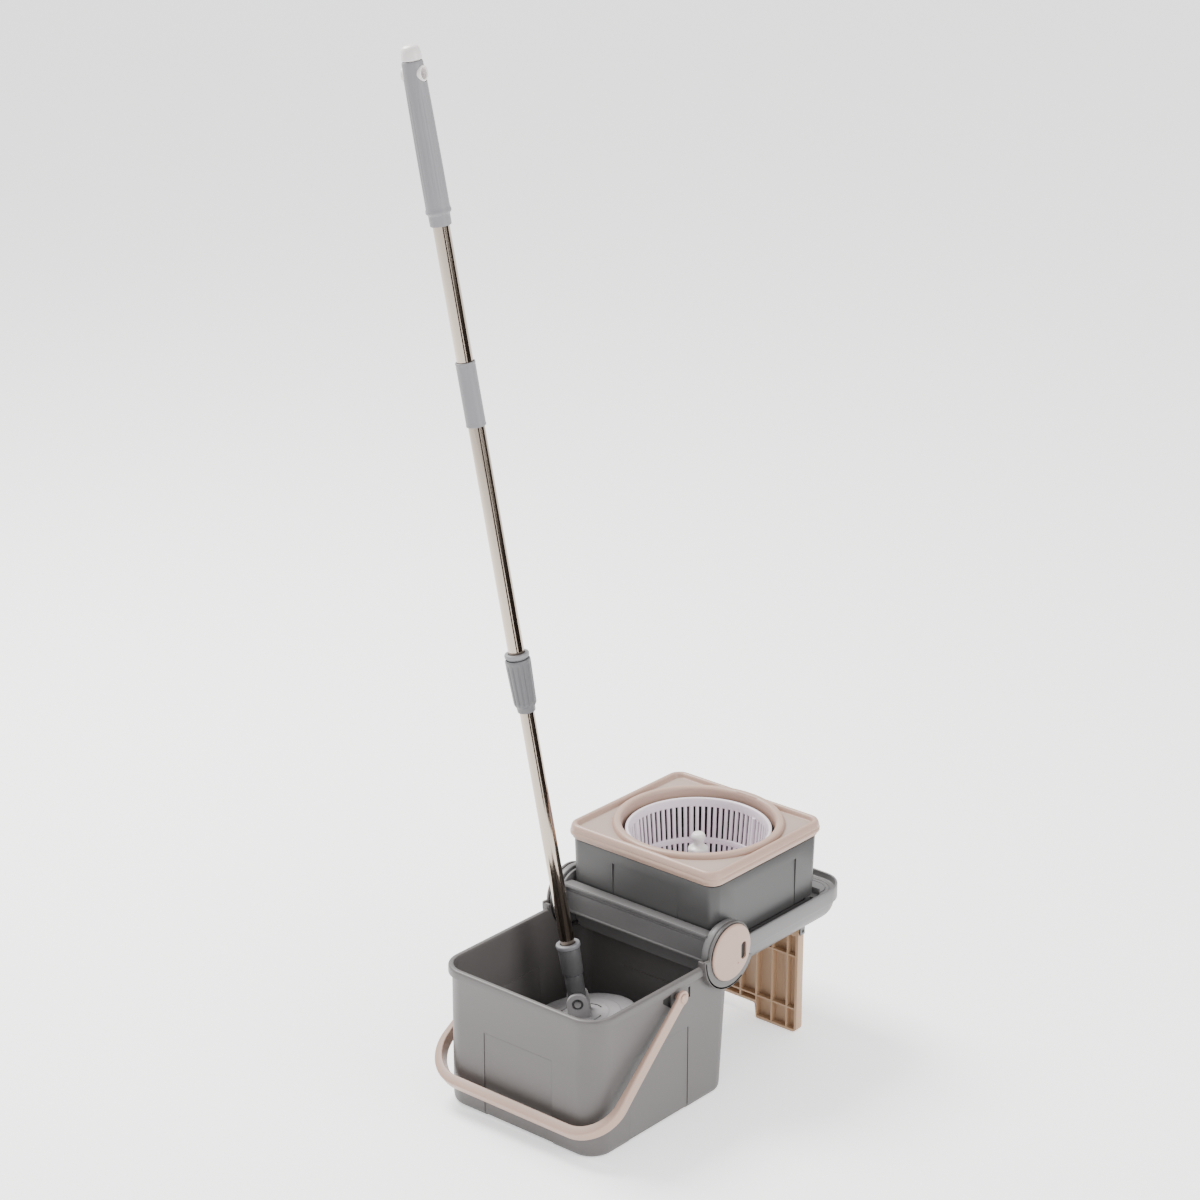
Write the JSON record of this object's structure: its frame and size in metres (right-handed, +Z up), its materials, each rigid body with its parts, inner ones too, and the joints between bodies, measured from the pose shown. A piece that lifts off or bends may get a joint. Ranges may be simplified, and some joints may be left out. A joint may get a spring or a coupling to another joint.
{
  "type": "spin mop",
  "caption": "Rounded rectangular wash bucket with a bail handle, a fold-out rear tray carrying a spin-dry basket box, and a telescopic mop standing in the bucket.",
  "frame": {"origin": "centre of the bounding box on the floor that the bucket stands on", "axes": "+Z up, +Y from the bucket towards the fold-out tray, +X along the tray hinge axles to the right seen from the front"},
  "size_m": [0.3902, 0.5328, 1.3368],
  "materials": {
    "bucket": "moulded polypropylene, fine satin grain",
    "tray": "moulded polypropylene, fine satin grain",
    "box": "moulded polypropylene, satin",
    "beige": "moulded plastic, soft satin",
    "leg": "moulded plastic, satin",
    "basket": "glossy white plastic with a lilac cast",
    "white": "satin white plastic",
    "steel": "polished stainless tube",
    "pins": "plain steel",
    "dark": "satin dark grey plastic",
    "light": "satin light grey plastic",
    "yoke": "satin grey plastic",
    "pad": "microfibre strands"
  },
  "bodies": {
    "bucket": {"wash_bucket": "bucket", "hub_cap_left": "beige", "hub_cap_right": "beige", "axle_left": "dark", "axle_right": "dark", "handle_pin_left": "beige", "handle_pin_right": "beige"},
    "handle": {"carry_handle": "beige"},
    "tray": {"folding_tray": "tray", "leg_pin_left": "pins", "leg_pin_right": "pins"},
    "leg": {"support_leg": "leg"},
    "dryer": {"spinner_box": "box", "spinner_lid": "beige", "spindle_bush": "white", "basket_spindle": "pins"},
    "basket": {"spin_basket": "basket", "basket_post": "white"},
    "mop_head": {"mop_plate": "yoke", "yoke_pin": "pins", "microfibre_pad": "pad"},
    "lower_pole": {"mop_neck": "dark", "mop_socket": "dark", "socket_ring": "light", "lower_tube": "steel", "drive_nut": "white"},
    "drive": {"rod_guide": "white"},
    "upper_pole": {"mid_tube": "steel", "joint_sleeve": "light", "upper_tube": "steel", "screw_rod": "pins", "rod_plug": "dark", "grip": "light", "hang_ring": "white", "grip_cap": "white", "lock_ring": "light", "lock_collet": "white"},
    "collar": {"lock_collar": "dark"}
  },
  "joints": [
    {"name": "handle_swing", "type": "hinge", "parent": "bucket", "child": "handle", "pos_m": [0.04456, -0.08565, 0.17], "axis": [1, 0, 0], "range_deg": [-110, 0]},
    {"name": "tray_fold", "type": "hinge", "parent": "bucket", "child": "tray", "pos_m": [0.04456, 0.00835, 0.199], "axis": [-1, 0, 0], "range_deg": [-25, 0]},
    {"name": "leg_fold", "type": "hinge", "parent": "tray", "child": "leg", "pos_m": [0.04456, 0.19435, 0.15], "axis": [-1, 0, 0], "range_deg": [0, 85]},
    {"name": "box_lift", "type": "slide", "parent": "tray", "child": "dryer", "axis": [0, 0, 1], "range_m": [0, 0.12]},
    {"name": "basket_spin", "type": "hinge", "parent": "dryer", "child": "basket", "pos_m": [0.04456, 0.11235, 0.19], "axis": [0, 0, 1], "continuous": true},
    {"name": "mop_lift", "type": "slide", "parent": "bucket", "child": "mop_head", "axis": [0.06, -0.27, 0.961], "range_m": [0, 0.2]},
    {"name": "pole_tilt", "type": "hinge", "parent": "mop_head", "child": "lower_pole", "pos_m": [-0.00014, -0.07755, 0.103], "axis": [0.6494, -0.7592, 0.0436], "range_deg": [-7, 30]},
    {"name": "pole_screw", "type": "hinge", "parent": "lower_pole", "child": "drive", "pos_m": [-0.07963, -0.11492, 0.63581], "axis": [-0.1472, -0.0692, 0.9867], "range_deg": [-1090, 0]},
    {"name": "pole_press", "type": "slide", "parent": "drive", "child": "upper_pole", "axis": [0.1472, 0.0692, -0.9867], "range_m": [0, 0.29]},
    {"name": "collar_twist", "type": "hinge", "parent": "upper_pole", "child": "collar", "pos_m": [-0.06491, -0.10799, 0.53714], "axis": [-0.1472, -0.0692, 0.9867], "range_deg": [0, 90]}
  ],
  "couplings": [
    {"joint": "pole_screw", "follows": "pole_press", "rad_per_m": -62.832}
  ]
}
